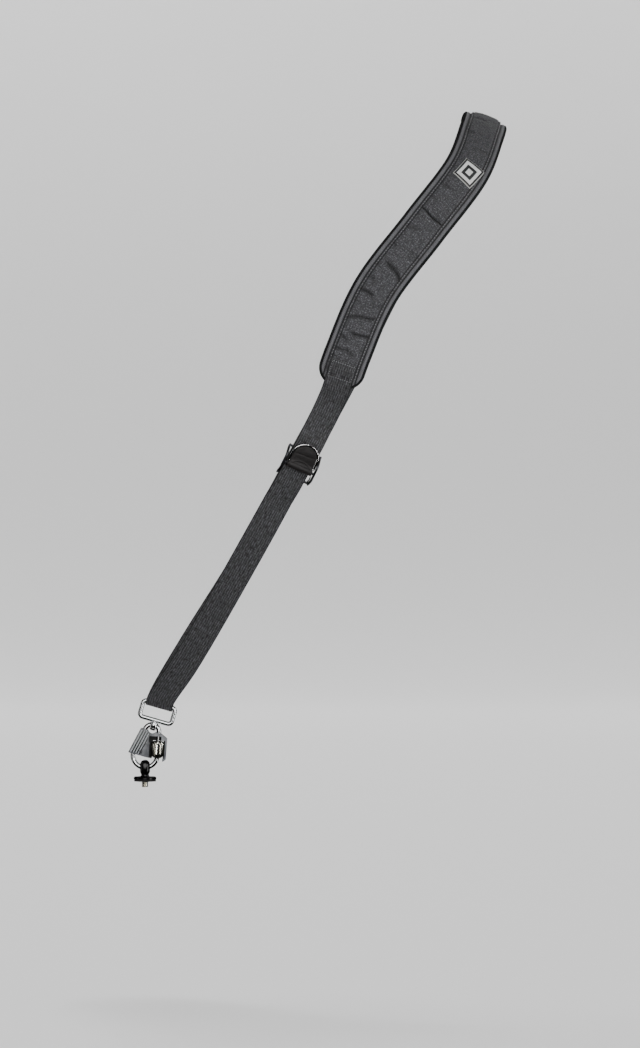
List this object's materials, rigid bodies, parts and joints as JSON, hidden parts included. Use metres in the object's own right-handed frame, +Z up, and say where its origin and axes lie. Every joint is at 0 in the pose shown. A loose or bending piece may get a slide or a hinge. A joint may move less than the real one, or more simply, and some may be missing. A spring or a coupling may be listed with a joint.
{
  "type": "camera sling strap",
  "caption": "Loop strap worn across the body: padded shoulder section, webbing, adjuster slide, ring, swivel hook and threaded camera fastener.",
  "frame": {"origin": "inner face of the pad on the crest of the shoulder that the strap sits on, midway across the pad", "axes": "+Z up, -Y the way that the wearer faces, the front of the strap runs down towards -X"},
  "size_m": [0.3495, 0.2489, 0.6259],
  "materials": {
    "mesh_border": "matt spacer mesh over foam",
    "woven_panel": "matt ballistic weave",
    "edge_binding": "matt binding tape",
    "label": "woven label",
    "webbing": "ribbed nylon webbing",
    "gunmetal": "gunmetal plate, satin",
    "bright_wire": "polished",
    "tab_leather": "dark leather, worn",
    "chrome": "polished",
    "nut_steel": "polished, fluted",
    "cover_plastic": "smoke grey, slightly translucent",
    "screw_steel": "small machine screw",
    "black_anodised": "black anodised, satin",
    "washer_rubber": "matt"
  },
  "bodies": {
    "strap": {"pad_body": "mesh_border", "pad_panel": "woven_panel", "pad_binding": "edge_binding", "label_patch": "label", "webbing_front": "webbing", "webbing_fold": "webbing", "webbing_rear": "webbing", "slide_frame": "gunmetal", "d_ring": "bright_wire", "pull_tab": "tab_leather"},
    "ring": {"ring": "chrome"},
    "hook": {"hook_body": "chrome", "gate": "chrome", "lock_nut": "nut_steel", "cover_front": "cover_plastic", "cover_back": "cover_plastic", "cover_screw": "screw_steel"},
    "fastener": {"fastener": "black_anodised", "washer": "washer_rubber"}
  },
  "joints": [
    {"name": "ring_swing", "type": "hinge", "parent": "strap", "child": "ring", "pos_m": [-0.3, 0, -0.537], "axis": [0.9613, 0, -0.2756], "range_deg": [-80, 80]},
    {"name": "hook_swivel", "type": "hinge", "parent": "ring", "child": "hook", "pos_m": [-0.30427, 0, -0.5519], "axis": [0.2756, 0, 0.9613], "continuous": true},
    {"name": "fastener_swing", "type": "hinge", "parent": "hook", "child": "fastener", "pos_m": [-0.31356, 0, -0.59559], "axis": [1, 0, 0], "range_deg": [-85, 85]}
  ]
}
